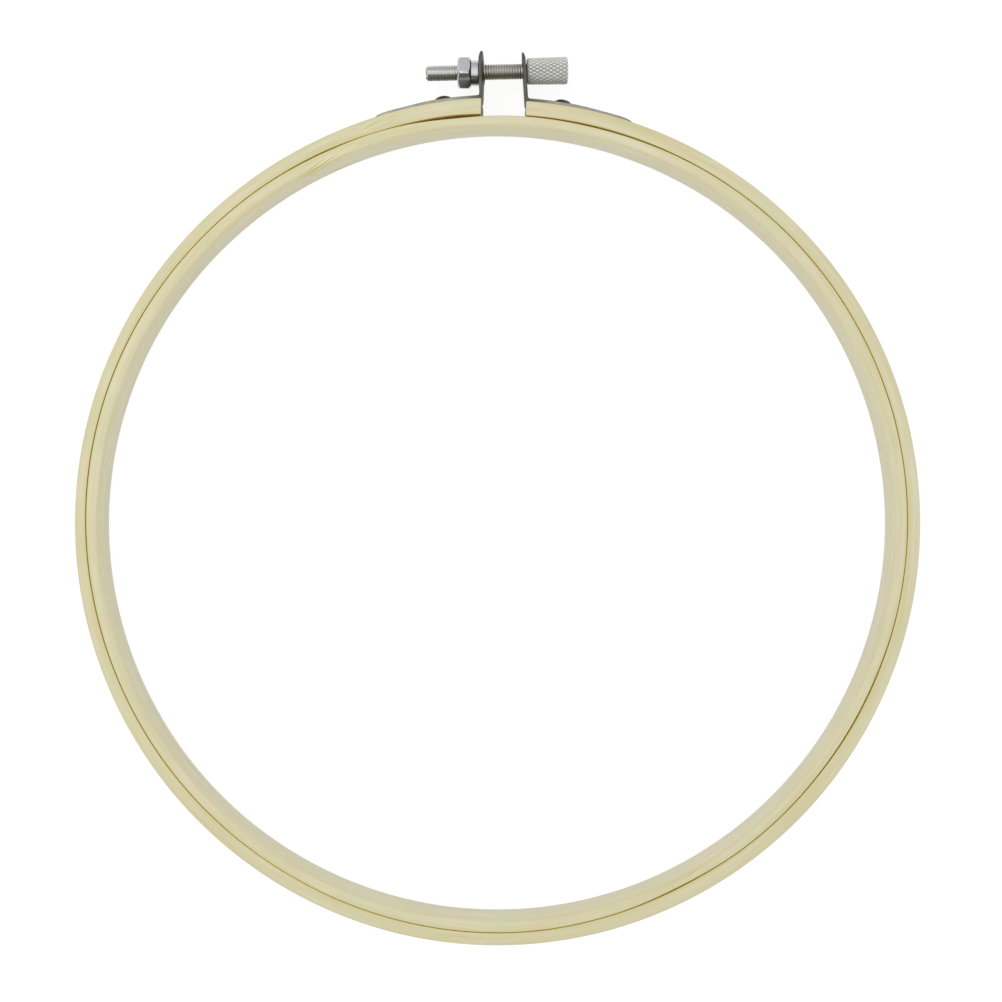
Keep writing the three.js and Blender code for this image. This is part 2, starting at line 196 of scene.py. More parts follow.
nut_lip = 0.03 * mm  # how far a face stands over the edge of its chamfer
nut_corner = 0.125 * mm  # worn off each corner
nut_corner_reach = 0.06  # radians
nut_chamfer_rows = (0.5, 0.93)  # shares of the way out from a face
nut_steps = 240
nut_tip = 1.6  # degrees that the nut leans over on the screw
nut_drop = 0.04 * mm  # of its axis below the screw's
nut_bore = 2.25 * mm
nut_bore_chamfer = 0.25 * mm
neck_radius = 2.75 * mm
neck_fit = 0.15 * mm
neck_drop = 0.18 * mm  # how much further down the leaning neck meets its ear
collar_radius = 3.2 * mm
collar_length = 1.9 * mm
collar_edges = (0.12 * mm, 0.15 * mm)  # rounding, at the hexagon and at the ear
flare_radius = 3.0 * mm
flare_thickness = 0.22 * mm
flare_draft = 0.1 * mm
flare_edges = (0.08 * mm, 0.09 * mm, 0.08 * mm)  # rounding, from the ear to the mouth
mouth_width = 0.15 * mm  # of the flare's worn mouth, round the bore
mouth_depth = 0.3 * mm
nut_seat = 0.05 * mm

# Dirt, oil, painted shade and painted reflection, from 0 for none to 1 for all that a material has
clean_depth = 0.25  # up to which none is seen
groove_dirt_and_shade = 0.3  # in the thread's grooves: dirt, and painted shade
ear_oil_and_reflection = 0.55  # on the thread between the ears: oil, and a painted reflection of the wood in the gap
ear_oil_and_reflection_fade = 1.0 * mm
hoop_side_shade = (0.74, 0.86)  # sines of the turn towards the hoop at which the painted shade on the screw's underside starts and is full

# Places along the screw's axis, from the middle of the gap, positive towards the knob
screw_joint = next(joint for joint in frame["joints"] if joint["name"] == "screw_turn")
screw_point = Vector(screw_joint["pos_m"])
screw_axis = Vector(screw_joint["axis"]).normalized()
screw_tilt = math.degrees(math.atan2(screw_axis.y, screw_axis.x))
ear_middle = half_gap + strip_metal / 2
knob_ear = ear_middle - screw_rise * math.tan(math.radians(knob_ear_lean))
nut_ear = -ear_middle - screw_rise * math.tan(math.radians(nut_ear_lean))
knob_slant = math.radians(abs(knob_ear_lean - screw_tilt))
nut_tilt = screw_tilt - nut_tip
nut_slant = math.radians(abs(nut_ear_lean - nut_tilt) + nut_ear_twist)
knob_face = knob_ear + strip_metal / 2 + knob_radius * knob_slant + knob_run
flare_face = nut_ear + strip_metal / 2 + nut_seat
collar_face = nut_ear - strip_metal / 2 - collar_radius * nut_slant - nut_seat
nut_face = collar_face - collar_length - nut_length


# Meshes

def add_object(name, data):
    added = bpy.data.objects.new(name, data)
    bpy.context.scene.collection.objects.link(added)
    return added


def make_piece(name, mesh, material, sharp=30):
    """A smooth piece with a crease where its faces meet at more than sharp degrees."""
    mesh.polygons.foreach_set("use_smooth", np.ones(len(mesh.polygons), bool))
    mesh.set_sharp_from_angle(angle=math.radians(sharp))
    if not mesh.materials:
        mesh.materials.append(material)
    return add_object(name, mesh)


def mesh_of(name, points, faces):
    mesh = bpy.data.meshes.new(name)
    mesh.from_pydata([tuple(point) for point in points], [], faces)
    mesh.update()
    return mesh


def lofted(name, rows, caps=True, heights=None):
    """A skin over rows of points that go round, with one flat face at each end.
    With heights, each square is split along its lower corners, so that grooves run straight."""
    rows = np.asarray(rows, float)
    count, around = rows.shape[:2]
    i = np.arange(count - 1)[:, None] * around
    j = np.arange(around)[None, :]
    k = (j + 1) % around
    quads = np.stack([i + j, i + k, i + around + k, i + around + j], axis=-1).reshape(-1, 4)
    if heights is None:
        faces = quads.tolist()
    else:
        low = np.asarray(heights).ravel()
        first = low[quads[:, 0]] + low[quads[:, 2]] < low[quads[:, 1]] + low[quads[:, 3]]
        faces = quads[first][:, [0, 1, 2]].tolist() + quads[first][:, [0, 2, 3]].tolist()
        faces += quads[~first][:, [0, 1, 3]].tolist() + quads[~first][:, [1, 2, 3]].tolist()
    if caps:
        faces.append(list(range(around))[::-1])
        faces.append([(count - 1) * around + n for n in range(around)])
    return mesh_of(name, rows.reshape(-1, 3), faces)


def clean(mesh):
    """Joins points that lie on each other and turns every face outward."""
    edit = bmesh.new()
    edit.from_mesh(mesh)
    bmesh.ops.remove_doubles(edit, verts=edit.verts, dist=1e-8)
    bmesh.ops.recalc_face_normals(edit, faces=edit.faces)
    if edit.calc_volume(signed=True) < 0:
        bmesh.ops.reverse_faces(edit, faces=edit.faces)
    edit.to_mesh(mesh)
    edit.free()
    return mesh


def cut_across(edit, station, **settings):
    """Cuts a mesh across at a station along X."""
    everything = edit.verts[:] + edit.edges[:] + edit.faces[:]
    return bmesh.ops.bisect_plane(edit, geom=everything, plane_co=(station, 0, 0), **settings)


def evaluated_mesh(thing):
    """The mesh of an object with its modifiers or its curve worked out."""
    graph = bpy.context.evaluated_depsgraph_get()
    graph.update()
    return bpy.data.meshes.new_from_object(thing.evaluated_get(graph))


def points_of(mesh):
    points = np.zeros(len(mesh.vertices) * 3)
    mesh.vertices.foreach_get("co", points)
    return points.reshape(-1, 3)


def mark(mesh, name, values):
    """Keeps a value for each point, for the materials: how much dirt, painted shade or painted reflection it
    takes, or where it is.
    """
    values = np.asarray(values, np.float32)
    kind, field = ("FLOAT", "value") if values.ndim == 1 else ("FLOAT_VECTOR", "vector")
    mesh.attributes.new(name, kind, "POINT").data.foreach_set(field, values.ravel())


def circle(station, radius, angles):
    """Points round the X axis. Station and radius are numbers, or one value for each angle."""
    station = station + 0 * angles
    radius = radius + 0 * angles
    return np.stack([station, -radius * np.sin(angles), radius * np.cos(angles)], axis=-1)


def turned(name, profile, steps=64):
    """A profile of (station, radius) turned about X. A radius of 0 at an end closes it."""
    angles = np.linspace(0, 2 * math.pi, steps, endpoint=False)
    return clean(lofted(name, [circle(x, r, angles) for x, r in profile]))


def fillet(corner, before, after, radius, steps=3):
    """Points of a rounded corner between its two neighbours in a profile."""
    corner, before, after = (np.array(point, float) for point in (corner, before, after))
    a = (before - corner) / np.linalg.norm(before - corner)
    b = (after - corner) / np.linalg.norm(after - corner)
    shares = [i / steps for i in range(steps + 1)]
    return [tuple(corner + a * radius * (1 - t) ** 2 + b * radius * t**2) for t in shares]


def filleted(profile, radii):
    """A profile with some corners rounded: radii are {which corner: radius}."""
    points = []
    for i, point in enumerate(profile):
        if i in radii:
            points += fillet(point, profile[i - 1], profile[i + 1], radii[i])
        else:
            points.append(point)
    return points


def stand(mesh, spot, along):
    """Moves a piece made along X to a spot, pointing along a direction in the plane of the hoop."""
    up = Vector((0, 0, 1))
    turn = Matrix((along, up.cross(along), up)).transposed().to_4x4()
    mesh.transform(Matrix.Translation(spot) @ turn)
    return mesh


def on_screw(mesh):
    return stand(mesh, screw_point, screw_axis)


# Wooden rings

def bumps(degrees, table):
    """The sum of a table's rounded bumps at some degrees round the hoop."""
    total = np.zeros_like(degrees)
    for amount, centre, width in table:
        apart = (degrees - centre + 180) % 360 - 180
        total += amount * np.exp(-((apart / width) ** 2))
    return total * mm


def waves(degrees, seed):
    """A slow uneven line round the hoop, never over 1.5 times the waves' size."""
    turn = np.radians(degrees)
    # (share of the size, waves round the hoop, how fast they shift with the seed)
    parts = ((0.7, 5, 1.0), (0.5, 11, 2.3), (0.3, 23, 3.1))
    return wave_size * sum(share * np.sin(count * turn + shift * seed) for share, count, shift in parts)


def seam_sides(degrees):
    """The inner ring's outside radius and the outer ring's inside radius."""
    shown = degrees - photo_turn
    middle = seam_radius + bumps(shown, seam_bumps)
    half = bumps(shown, gap_bumps) / 2
    return middle - half, middle + half


def spring_out(degrees):
    """How far the outer ring's nut-side half stands further out."""
    return np.where((degrees > 90) & (degrees < 270), bumps(degrees - photo_turn, end_spring), 0)


def section(inside, outside, high, inner_edge, outer_edge):
    """Cross-sections of a strip as (radius, height), for arrays of sizes round the hoop."""
    corners = (
        (outside - outer_edge, outer_edge + 0 * high, outer_edge, 270),
        (outside - outer_edge, high - outer_edge, outer_edge, 0),
        (inside + inner_edge, high - inner_edge, inner_edge, 90),
        (inside + inner_edge, inner_edge + 0 * high, inner_edge, 180),
    )
    points = []
    for index, (r, z, edge, start) in enumerate(corners):
        for angle in np.radians(start + np.linspace(0, 90, corner_steps)):
            points.append((r + edge * math.cos(angle), z + edge * math.sin(angle)))
        r2, z2, edge2, start2 = corners[(index + 1) % 4]
        turn2 = math.radians(start2)
        here = points[-1]
        there = (r2 + edge2 * math.cos(turn2), z2 + edge2 * math.sin(turn2))
        for share in (0.25, 0.5, 0.75):
            points.append(tuple(a + (b - a) * share for a, b in zip(here, there)))
    return np.stack([np.stack(point, axis=-1) for point in points], axis=1)


def ring_points(sections, angles):
    """Cross-sections set round the hoop's centre at their angles."""
    r = sections[..., 0]
    x = hoop_centre.x + r * np.cos(angles)
    y = hoop_centre.y + r * np.sin(angles)
    return np.stack([x, y, sections[..., 1]], axis=-1)


def mark_wood(mesh, side):
    """Gives each point its place at rest, for the grain to follow, and its distance from the seam, in mm.
    The side is 1 outside the seam and -1 inside it."""
    places = points_of(mesh) - np.array(hoop_centre)
    degrees = np.degrees(np.arctan2(places[:, 1], places[:, 0]))
    inner, outer = seam_sides(degrees)
    radius = np.hypot(places[:, 0], places[:, 1])
    away = radius - outer if side > 0 else inner - radius
    mark(mesh, "place", places / mm)
    mark(mesh, "from_seam", away / mm)


def make_inner_ring(material):
    degrees = np.linspace(0, 360, ring_steps, endpoint=False)
    outside, _ = seam_sides(degrees)
    turn = np.radians(degrees - photo_turn)
    across, along, wide = inner_shift
    shape = (across * np.cos(turn) + along * np.sin(turn) + wide * np.cos(2 * turn)) * mm
    inside = inner_inside + shape + waves(degrees, 1.0)
    high = ring_height - wave_room + waves(degrees, 2.0)
    sections = section(inside, outside, high, inner_free_edge, seam_edge)
    rows = ring_points(sections, np.radians(degrees)[:, None])
    mesh = clean(lofted("inner_ring_wood", np.concatenate([rows, rows[:1]]), caps=False))
    mark_wood(mesh, -1)
    return make_piece("inner_ring_wood", mesh, material)


def end_row(profile, turning, inset=0.0, shrink=0.0):
    """A profile and its angles at one end of the outer ring. Turning is 1 at the nut side and -1 at the
    knob side. Inset sets it back from the gap, and shrink draws its outline in."""
    if turning > 0:
        setback, skew = nut_end_setback, nut_end_skew
    else:
        setback, skew = knob_end_setback, knob_end_skew
    middle = (profile.max(axis=0) + profile.min(axis=0)) / 2
    room = (profile.max(axis=0) - profile.min(axis=0)) / 2
    profile = middle + (profile - middle) * (1 - shrink / room)
    from_middle = half_gap + setback + inset - skew * (1 - profile[:, 1] / ring_height)
    return profile, math.pi / 2 + turning * np.arcsin(from_middle / profile[:, 0])


def make_outer_ring(material, end_material):
    # Rows run from the nut-side end round the back of the hoop to the knob-side end.
    share = np.linspace(0, 1, ring_steps)
    gap_turn = math.degrees(math.asin(half_gap / outer_outside))
    degrees = 90 + gap_turn + (360 - 2 * gap_turn) * share
    _, inside = seam_sides(degrees)
    outside = outer_outside - wave_room + waves(degrees, 4.0) + spring_out(degrees)
    high = ring_height - wave_room + waves(degrees, 5.0)
    sections = section(inside, outside, high, seam_edge, outer_free_edge)
    _, start = end_row(sections[0], 1, inset=end_edge)
    _, stop = end_row(sections[-1], -1, inset=end_edge)
    rows = ring_points(sections, start + (stop + 2 * math.pi - start) * share[:, None])
    first = ring_points(*end_row(sections[0], 1, shrink=end_edge))
    last = ring_points(*end_row(sections[-1], -1, shrink=end_edge))
    mesh = lofted("outer_ring_wood", np.concatenate([first[None], rows, last[None]]))
    mesh.materials.append(material)
    mesh.materials.append(end_material)
    for polygon in mesh.polygons:
        polygon.material_index = 1 if len(polygon.vertices) > 4 else 0
    piece = make_piece("outer_ring_wood", clean(mesh), material)
    cut_rivet_holes(piece)
    mark_wood(piece.data, 1)
    return piece


def rivet_place(side):
    """The direction away from the hoop's centre at a rivet, its point on the outer ring's face,
    and the station of the closed tail's end."""
    station = side * (half_gap + strip_metal + rivet_setback) - rivet_shift
    angle = station / (outer_outside + strip_seat + strip_metal / 2)
    degrees = np.array(90 - math.degrees(angle))
    face = outer_outside + float(spring_out(degrees))
    out = Vector((math.sin(angle), math.cos(angle), 0))
    spot = hoop_centre + out * face + Vector((0, 0, ring_height / 2))
    return out, spot, float(seam_sides(degrees)[1]) - face + tail_inset


def cut_rivet_holes(piece):
    """Through both ends of the outer ring, with a countersink inside for the closed tail."""
    past = 1.0 * mm
    slope = (tail_radius - shank_radius) / tail_depth
    for side in (1, -1):
        out, spot, tail_end = rivet_place(side)
        profile = [
            (tail_end - past, 0),
            (tail_end - past, tail_radius + rivet_fit + slope * past),
            (tail_end + tail_depth, shank_radius + rivet_fit),
            (past, shank_radius + rivet_fit),
            (past, 0),
        ]
        cutter = add_object("cutter", stand(turned("cutter", profile, hole_steps), spot, out))
        cut = piece.modifiers.new("hole", "BOOLEAN")
        cut.operation = "DIFFERENCE"
        cut.solver = "EXACT"
        cut.object = cutter
        apply_modifiers(piece)
        bpy.data.objects.remove(cutter)


def apply_modifiers(piece):
    mesh = evaluated_mesh(piece)
    old = piece.data
    piece.modifiers.clear()
    piece.data = mesh
    bpy.data.meshes.remove(old)


# Brackets

def strip_path(side, lean, over_screw):
    """The middle line of a bracket's strip as points in XY, from its tail along the ring and up the ear,
    with the numbers of the points where its bend starts and ends."""
    tail_points, bend_points, ear_points = strip_points
    radius = outer_outside + strip_seat + strip_metal / 2
    lean = math.radians(lean)
    up = np.array((-math.sin(lean), math.cos(lean)))
    corner_angle = side * math.asin(ear_middle / radius)

    def on_ring(angle):
        sprung = float(spring_out(np.array(90 - math.degrees(angle))))
        return np.array((math.sin(angle), math.cos(angle))) * (radius + sprung)

    corner = on_ring(corner_angle)
    turn = math.pi / 2 - abs(corner_angle) - side * lean
    cut = bend_radius * math.tan(turn / 2)
    bend_angle = corner_angle + side * cut / radius
    tail_angle = corner_angle + side * strip_length / radius
    points = [on_ring(angle) for angle in np.linspace(tail_angle, bend_angle, tail_points)]
    bend_start = len(points) - 1
    start = points[-1]
    end = corner + up * cut
    along = -side * np.array((math.cos(bend_angle), -math.sin(bend_angle)))
    # A cubic curve whose handles have this reach follows the bend's arc.
    reach = 4 / 3 * math.tan(turn / 4) * bend_radius
    controls = (start, start + along * reach, end - up * reach, end)
    for t in np.linspace(0, 1, bend_points)[1:]:
        weights = ((1 - t) ** 3, 3 * t * (1 - t) ** 2, 3 * t * t * (1 - t), t**3)
        points.append(sum(weight * control for weight, control in zip(weights, controls)))
    bend_end = len(points) - 1
    rise = (outer_outside + screw_rise + over_screw - end[1]) / up[1]
    points += [end + up * rise * t for t in np.linspace(0, 1, ear_points)[1:]]
    return np.array(points), bend_start, bend_end


def crossing(points, stations):
    """The station along a path at which it crosses the screw's axis."""
    origin = np.array(screw_point[:2]) - np.array(hoop_centre[:2])
    off = (points - origin) @ np.array((-screw_axis.y, screw_axis.x))
    last = np.nonzero(off < 0)[0][-1]
    share = off[last] / (off[last] - off[last + 1])
    return stations[last] + share * (stations[last + 1] - stations[last])


def punched_strip(length, holes):
    """A flat strip along X from 0 to its length, with round ends, round holes and rounded edges."""
    half = strip_half_width
    turns = np.radians(np.linspace(-90, 90, strip_end_points))
    outline = [(half - half * math.cos(a), -half * math.sin(a)) for a in turns]
    outline += [(length - half + half * math.cos(a), half * math.sin(a)) for a in turns]
    loops = [outline]
    for station, radius in holes:
        around = np.radians(np.linspace(0, 360, hole_steps, endpoint=False))
        loops.append([(station + radius * math.cos(a), radius * math.sin(a)) for a in around])
    curve = bpy.data.curves.new("strip", "CURVE")
    curve.dimensions = "2D"
    curve.fill_mode = "BOTH"
    curve.extrude = strip_metal / 2 - strip_edge
    curve.bevel_depth = strip_edge
    curve.bevel_resolution = 2
    curve.offset = -strip_edge
    for loop in loops:
        spline = curve.splines.new("POLY")
        spline.points.add(len(loop) - 1)
        for point, (x, y) in zip(spline.points, loop):
            point.co = (x, y, 0, 1)
        spline.use_cyclic_u = True
    blank = add_object("strip", curve)
    mesh = evaluated_mesh(blank)
    bpy.data.objects.remove(blank)
    bpy.data.curves.remove(curve)
    return mesh


def slice_across(edit, stations):
    """Cuts a strip across at stations along X, so that it can bend there."""
    for station in stations:
        cut_across(edit, station, dist=1e-7, plane_no=(1, 0, 0))


def make_bracket(name, material, side, lean, over_screw, hole_radius, twist=0, hole_drop=0):
    """A flat punched strip, bent along its path. Its ear leans and twists by degrees."""
    points, bend_start, bend_end = strip_path(side, lean, over_screw)
    stations = np.concatenate([[0], np.cumsum(np.linalg.norm(np.diff(points, axis=0), axis=1))])
    length = stations[-1]
    rivet_station = strip_length - rivet_setback - strip_metal / 2 + side * rivet_shift
    hole_station = crossing(points, stations) - hole_drop
    holes = ((rivet_station, shank_radius + rivet_fit), (hole_station, hole_radius))
    mesh = punched_strip(length, holes)
    edit = bmesh.new()
    edit.from_mesh(mesh)
    bmesh.ops.remove_doubles(edit, verts=edit.verts, dist=1e-6)
    slice_across(edit, np.arange(slice_width, stations[bend_start], slice_width))
    slice_across(edit, stations[bend_start : bend_end + 1])
    slice_across(edit, np.arange(stations[bend_end] + slice_width, length - slice_width / 2, slice_width))
    tangents = np.gradient(points, stations, axis=0)
    twist_start = stations[bend_end] - twist_lead
    # The strip turns darker from a little before its bend up to its ear.
    dark_start = stations[bend_start] - darkening_lead
    dark = []
    for vertex in edit.verts:
        s, across, through = vertex.co
        at = Vector([np.interp(s, stations, points[:, i]) for i in (0, 1)] + [ring_height / 2])
        tangent = Vector([np.interp(s, stations, tangents[:, i]) for i in (0, 1)]).normalized()
        out = Vector((tangent.y, -tangent.x)) * side
        turn = math.radians(twist) * min(1, max(0, (s - twist_start) / (hole_station - twist_start)))
        thin = np.interp(s / length, *zip(*thinning))
        through = (through + strip_metal / 2) * thin - strip_metal / 2
        dark.append(np.interp(s, (dark_start, stations[bend_end]), (clean_depth, 1)))
        wide = Vector((out.x * math.sin(turn), out.y * math.sin(turn), math.cos(turn)))
        thick = Vector((out.x * math.cos(turn), out.y * math.cos(turn), -math.sin(turn)))
        vertex.co = hoop_centre + at + wide * across + thick * through
    edit.to_mesh(mesh)
    edit.free()
    mark(mesh, "depth", dark)
    return make_piece(name, clean(mesh), material, sharp=40)


# Rivets, screw, knob and nut

def make_rivet(name, side, material):
    seat = strip_seat + strip_metal + head_seat
    out, spot, tail_end = rivet_place(side)
    profile = [
        (tail_end, 0),
        (tail_end, tail_radius),
        (tail_end + tail_depth, shank_radius),
        (seat, shank_radius),
        (seat, head_radius),
    ]
    profile = filleted(profile, {1: tail_edge})
    for angle in np.radians(np.linspace(0, head_dome_turn, 12)):
        station = seat + head_rim + head_dome * math.sin(angle)
        profile.append((station, head_radius * math.cos(angle) ** head_dome_power))
    profile.append((seat + head_rim + head_dome, 0))
    return make_piece(name, stand(turned(name, profile), spot, out), material)


def make_screw(material):
    # One pitch of the thread, from root to root: (share of the pitch, share of the depth)
    flank = [(0.0, 0.0), (0.1, 0.05), (0.22, 0.45), (0.32, 0.9), (0.4, 1.0)]
    profile = flank + [(1 - share, height) for share, height in flank[:0:-1]]
    # Rows follow the helix, so each keeps its own place in the profile,
    # and a turn later meets the next pitch.
    rows_a_turn = len(profile)
    start = knob_face - screw_length
    stop = knob_face + thread_in_knob
    rows = (math.ceil((stop - start) / thread_pitch) + 2) * rows_a_turn
    points = []
    for i in range(thread_steps):
        angle = 2 * math.pi * i / thread_steps
        for row in range(rows + 1):
            share, height = profile[row % rows_a_turn]
            x = start + thread_pitch * (row // rows_a_turn + share + i / thread_steps - 1)
            radius = thread_radius - thread_depth * (1 - height)
            radius = min(radius, thread_radius - tip_chamfer + max(0, x - start))
            points.append((x, -radius * math.sin(angle), radius * math.cos(angle)))
    faces = []
    for i in range(thread_steps):
        last = i + 1 == thread_steps
        beside = rows_a_turn if last else (i + 1) * (rows + 1)
        for row in range(rows - rows_a_turn if last else rows):
            a = i * (rows + 1) + row
            faces.append((a, beside + row, beside + row + 1, a + 1))
    mesh = mesh_of("screw_thread", points, faces)
    edit = bmesh.new()
    edit.from_mesh(mesh)
    for x, normal in ((start, (-1, 0, 0)), (stop, (1, 0, 0))):
        cut = cut_across(edit, x, dist=1e-8, plane_no=normal, clear_outer=True)
        rim = [item for item in cut["geom_cut"] if isinstance(item, bmesh.types.BMEdge)]
        bmesh.ops.holes_fill(edit, edges=rim)
    edit.to_mesh(mesh)
    edit.free()
    clean(mesh)
    x, y, z = points_of(mesh).T
    radius = np.hypot(y, z)
    # The thread's grooves take dirt and painted shade; between the ears it takes oil and a painted reflection
    # of the wood; on the side towards the hoop, painted shade.
    groove = np.clip((thread_radius - radius) / thread_depth, 0, 1)
    ears = (nut_ear, nut_ear + ear_oil_and_reflection_fade, knob_ear - ear_oil_and_reflection_fade, knob_ear)
    between = np.interp(x, ears, (0, 1, 1, 0))
    off_axis = np.maximum(radius, 0.01 * mm)
    painted_underside_shade = np.interp(-y / off_axis, hoop_side_shade, (0, 1))
    mark(mesh, "depth", np.clip(groove_dirt_and_shade * groove + ear_oil_and_reflection * between + painted_underside_shade, 0, 1))
    return make_piece("screw_thread", on_screw(mesh), material, sharp=50)


def make_stud(material):
    start = knob_face + stud_start
    end = knob_face + stud_length
    profile = [(start, 0), (start, stud_radius), (end, stud_radius), (end, 0)]
    mesh = turned("screw_stud", filleted(profile, {2: stud_edge}), hole_steps)
    return make_piece("screw_stud", on_screw(mesh), material)


def knurl_height(u, v):
    """From 0 in a groove to 1 on a diamond's top, for two families of grooves at whole u and at whole v."""
    off = [np.clip(np.abs(w - np.round(w)) / knurl_groove, 0, 1) for w in (u, v)]
    return np.minimum(*off)


def make_knob(material):
    around = knurls_around * knurl_cell_steps
    along = knurls_along * knurl_cell_steps
    angles = np.linspace(0, 2 * math.pi, around, endpoint=False)
    index = np.arange(around)
    bore = stud_radius + stud_fit
    inside = stud_length + stud_fit
    rim = knob_radius - knurl_depth - knob_rim_inset
    mouth = [(knob_bore_chamfer, bore), (0, bore + knob_bore_chamfer)]
    near_end = [(inside, 0), (inside, bore), *mouth, (0, rim - knob_taper - knob_chamfer / 2)]
    rows = [circle(x, r, angles) for x, r in near_end]
    heights = [np.ones(around) for _ in rows]
    for row in range(along + 1):
        share = row / along
        x = knurl_inset + (knob_length - 2 * knurl_inset) * share
        height = knurl_height((index + row) / knurl_cell_steps, (index - row) / knurl_cell_steps)
        near = min(x, knob_length - x)
        full = knob_radius - knob_taper * (1 - share)
        top = full - knob_chamfer * max(0, 1 - near / knob_chamfer) ** 2
        rows.append(circle(x, np.minimum(top, full - knurl_depth * (1 - height)), angles))
        heights.append(height)
    crown = knob_length + knob_crown
    far_end = [(knob_length, rim - knob_chamfer / 2), (crown, rim / 2), (crown, 0)]
    rows += [circle(x, r, angles) for x, r in far_end]
    heights += [np.ones(around) for _ in far_end]
    mesh = lofted("knob_knurled", rows, heights=heights)
    # Dirt, and painted shade, in the knurl's grooves.
    mark(mesh, "depth", 1 - np.concatenate(heights))
    mesh.transform(Matrix.Translation((knob_face, 0, 0)))
    return make_piece("knob_knurled", on_screw(clean(mesh)), material, sharp=32)


def hexagon_radius(angles):
    """The distance from the axis to a hexagon with rounded corners."""
    flat_radius = nut_flats / 2
    sixth = math.pi / 3
    from_corner = (angles - math.radians(nut_turn) + sixth / 2) % sixth - sixth / 2
    flat = flat_radius / np.cos(sixth / 2 - np.abs(from_corner))
    worn = nut_corner * np.exp(-((from_corner / nut_corner_reach) ** 2))
    return np.minimum(flat, flat_radius / math.cos(sixth / 2) - worn)


def make_nut(material):
    angles = np.linspace(0, 2 * math.pi, nut_steps, endpoint=False)
    hexagon = hexagon_radius(angles)
    face_radius = nut_flats / 2 - nut_face_inset
    over = hexagon - face_radius
    chamfer = over * nut_chamfer_slope
    edge = nut_face_edge
    rows = [(nut_bore_chamfer, nut_bore), (0, nut_bore + nut_bore_chamfer), (0, face_radius - edge)]
    rows.append((nut_lip, face_radius))
    rows += [(nut_lip + chamfer * t, face_radius + over * t) for t in nut_chamfer_rows]
    rows += [(chamfer + edge, hexagon), (nut_length - chamfer - edge, hexagon)]
    rows += [(nut_length - nut_lip - chamfer * t, face_radius + over * t) for t in nut_chamfer_rows[::-1]]
    rows.append((nut_length - nut_lip, face_radius))
    collar_end = nut_length + collar_length
    neck = [
        (nut_length, face_radius - edge),
        (nut_length, collar_radius),
        (collar_end, collar_radius),
        (collar_end, neck_radius),
    ]
    rows += filleted(neck, dict(enumerate(collar_edges, 1)))
    flare_start = flare_face - nut_face
    flare_end = flare_start + flare_thickness
    flare = [
        (flare_start, neck_radius),
        (flare_start, flare_radius),
        (flare_end, flare_radius - flare_draft),
        (flare_end, nut_bore + mouth_width),
        (flare_end - mouth_depth, nut_bore),
        (flare_end - mouth_depth - edge, nut_bore),
    ]
    # The flare is pressed flat on the ear, which slants across the screw.
    lean = math.radians(nut_tilt - nut_ear_lean) * np.sin(angles)
    lean += math.radians(nut_ear_twist) * np.cos(angles)
    plain_rows = len(rows)
    rows += [(x - r * lean, r) for x, r in filleted(flare, dict(enumerate(flare_edges, 1)))]
    rows.append(rows[0])
    mesh = lofted("nut_hexagon", [circle(x, r, angles) for x, r in rows], caps=False)
    # The flare over the ear's hole is painted dark, as painted shade.
    painted_flare_shade = [0.0] * plain_rows + [1.0] * (len(rows) - plain_rows - 1) + [0.0]
    mark(mesh, "depth", np.repeat(painted_flare_shade, len(angles)))
    lean_over = Matrix.Rotation(math.radians(-nut_tip), 4, "Z")
    mesh.transform(Matrix.Translation((nut_face, -nut_drop, 0)) @ lean_over)
    return make_piece("nut_hexagon", on_screw(clean(mesh)), material, sharp=28)


# Materials

class Nodes:
    """The nodes of a material or of the world, made one call at a time.
    A value is a number, a colour or another node's output."""

    def __init__(self, owner):
        owner.use_nodes = True
        self.tree = owner.node_tree

    def put(self, socket, value):
        if isinstance(value, bpy.types.NodeSocket):
            self.tree.links.new(value, socket)
        else:
            socket.default_value = value

    def node(self, kind, inputs=None, **settings):
        made = self.tree.nodes.new(kind)
        for key, value in settings.items():
            setattr(made, key, value)
        for key, value in (inputs or {}).items():
            self.put(made.inputs[key], value)
        return made

    def math(self, operation, *values):
        return self.node("ShaderNodeMath", dict(enumerate(values)), operation=operation).outputs[0]

    def times(self, a, b):
        return self.math("MULTIPLY", a, b)

    def vector(self, x, y, z):
        return self.node("ShaderNodeCombineXYZ", {"X": x, "Y": y, "Z": z}).outputs[0]

    def spread(self, value, low, high, to_low=0.0, to_high=1.0):
        """A value's range from low to high spread to another one, and held at its ends."""
        inputs = {"Value": value, 1: low, 2: high, 3: to_low, 4: to_high}
        return self.node("ShaderNodeMapRange", inputs).outputs[0]

    def mix(self, share, a, b, kind="RGBA"):
        inputs = {"Factor": share, "A": a, "B": b}
        return self.node("ShaderNodeMix", inputs, data_type=kind).outputs["Result"]

    def noise(self, vector, w=None, detail=2.0, roughness=0.5, scale=1.0):
        inputs = {"Vector": vector, "Scale": scale, "Detail": detail, "Roughness": roughness}
        dimensions = "3D"
        if w is not None:
            inputs["W"] = w
            dimensions = "4D"
        return self.node("ShaderNodeTexNoise", inputs, noise_dimensions=dimensions).outputs[0]

    def attribute(self, name, output="Fac"):
        return self.node("ShaderNodeAttribute", attribute_name=name).outputs[output]

    def any_ray(self, *kinds):
        """1 for light of any of these kinds, and 0 for other light."""
        path = self.node("ShaderNodeLightPath")
        found = path.outputs[kinds[0]]
        for kind in kinds[1:]:
            found = self.math("MAXIMUM", found, path.outputs[kind])
        return found

    def set(self, **values):
        shader = self.tree.nodes["Principled BSDF"]
        for key, value in values.items():
            self.put(shader.inputs[key.replace("_", " ")], value)

    def bump(self, height, distance, strength):
        made = self.node("ShaderNodeBump", {"Height": height, "Distance": distance, "Strength": strength})
        self.set(Normal=made.outputs[0])


def srgb(red, green, blue):
    """A colour written as on screen, from 0 to 255."""
    shares = [value / 255 for value in (red, green, blue)]
    return tuple(v / 12.92 if v <= 0.04045 else ((v + 0.055) / 1.055) ** 2.4 for v in shares) + (1.0,)


